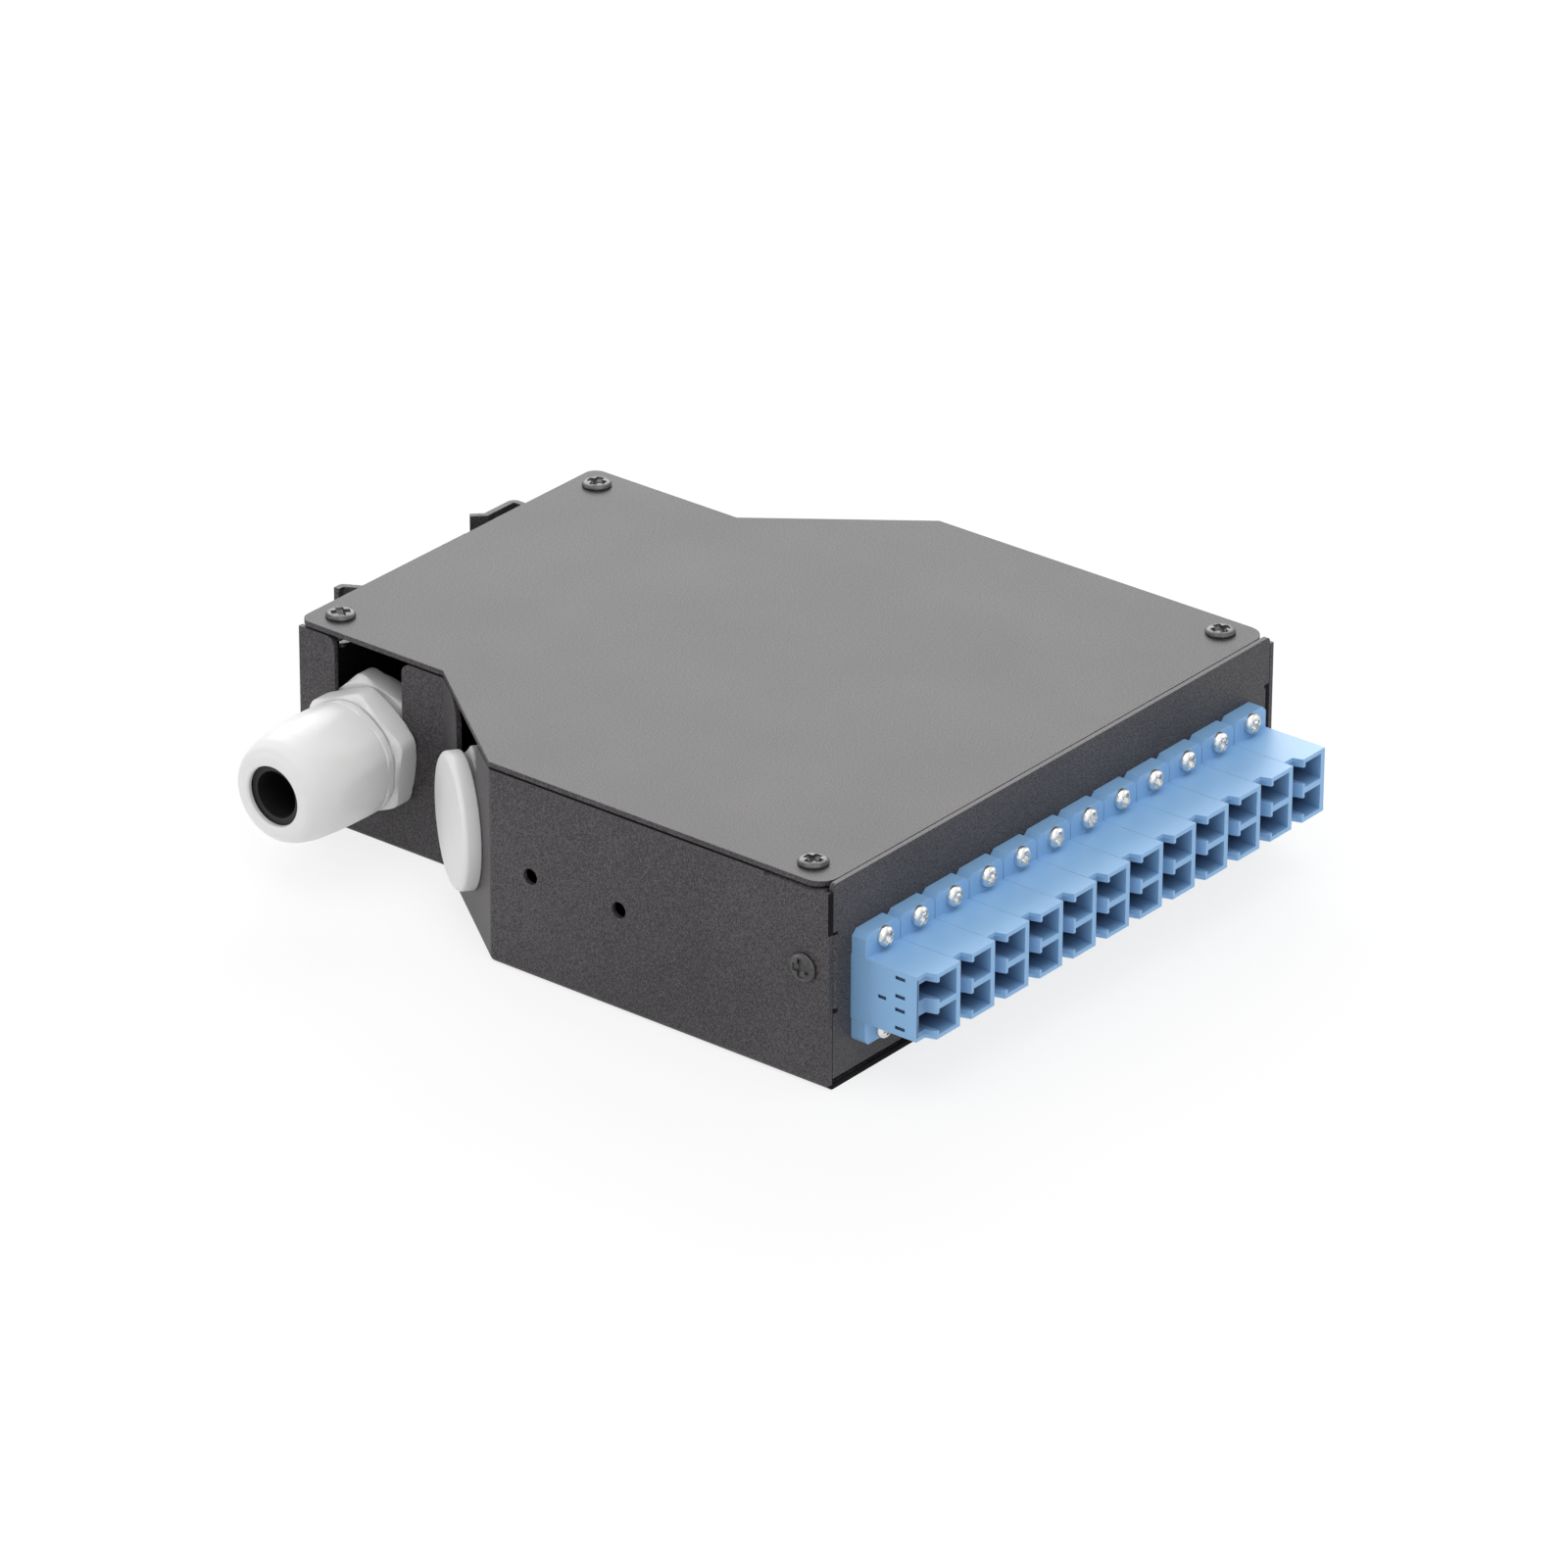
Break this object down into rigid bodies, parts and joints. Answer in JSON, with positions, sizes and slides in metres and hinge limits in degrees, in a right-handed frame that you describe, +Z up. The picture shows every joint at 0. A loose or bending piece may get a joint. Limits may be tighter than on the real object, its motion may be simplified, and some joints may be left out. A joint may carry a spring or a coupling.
{
  "type": "DIN rail fibre patch and splice box",
  "caption": "Folded-sheet fibre box for DIN rail with a row of duplex adapters along the front, a cable gland, a blanking plug, a flat lid and a sprung rail clip behind.",
  "frame": {"origin": "on the underside of the case's base, in the middle of the case's width and depth", "axes": "X along the front panel to the right seen from the front, Y from the front panel to the rear wall, Z up from the base"},
  "size_m": [0.1361, 0.1677, 0.0415],
  "materials": {
    "grey_powder": "dark grey powder coat, finely textured, matt",
    "black_screw": "black passivated steel, half shiny",
    "plated_steel": "bright plated steel",
    "spring_steel": "bare spring wire",
    "white_plastic": "white nylon, half matt",
    "seal_rubber": "black soft rubber",
    "blue_plastic": "light blue moulded plastic, half matt",
    "ceramic": "white zirconia, smooth",
    "tray_plastic": "black moulded plastic, matt",
    "comb_plastic": "pale grey moulded plastic, matt"
  },
  "bodies": {
    "case": {"case_tray": "grey_powder", "lid": "grey_powder", "front_panel": "grey_powder", "lid_screws": "black_screw", "panel_screws": "black_screw", "lid_press_nuts": "plated_steel", "panel_press_nuts": "plated_steel", "adapter_screws": "plated_steel", "gland_body": "white_plastic", "gland_locknut": "white_plastic", "blanking_plug": "white_plastic", "plug_locknut": "white_plastic", "gland_seal": "seal_rubber", "clip_plate": "grey_powder", "clip_spring": "spring_steel", "clip_rivets": "black_screw", "clip_screws": "black_screw", "clip_nuts": "plated_steel", "splice_tray": "tray_plastic", "splice_comb_front": "comb_plastic", "splice_comb_rear": "comb_plastic", "tray_standoffs": "plated_steel", "tray_screws": "plated_steel", "tie_bridge": "grey_powder", "bridge_rivets": "black_screw", "adapter_01": "blue_plastic", "adapter_02": "blue_plastic", "adapter_03": "blue_plastic", "adapter_04": "blue_plastic", "adapter_05": "blue_plastic", "adapter_06": "blue_plastic", "adapter_07": "blue_plastic", "adapter_08": "blue_plastic", "adapter_09": "blue_plastic", "adapter_10": "blue_plastic", "adapter_11": "blue_plastic", "adapter_12": "blue_plastic", "sleeves_01": "ceramic", "sleeves_02": "ceramic", "sleeves_03": "ceramic", "sleeves_04": "ceramic", "sleeves_05": "ceramic", "sleeves_06": "ceramic", "sleeves_07": "ceramic", "sleeves_08": "ceramic", "sleeves_09": "ceramic", "sleeves_10": "ceramic", "sleeves_11": "ceramic", "sleeves_12": "ceramic"},
    "rail_latch": {"clip_slider": "grey_powder"},
    "gland_nut": {"gland_dome_nut": "white_plastic"}
  },
  "joints": [
    {"name": "latch_slide", "type": "slide", "parent": "case", "child": "rail_latch", "axis": [-1, 0, 0], "range_m": [0, 0.0035], "stiffness_N_per_m": 900, "springref_m": -0.002, "deforming": ["clip_spring"]},
    {"name": "gland_nut_turn", "type": "hinge", "parent": "case", "child": "gland_nut", "pos_m": [-0.0572, 0.05495, 0.0195], "axis": [-1, 0, 0], "range_deg": [0, 360]}
  ]
}
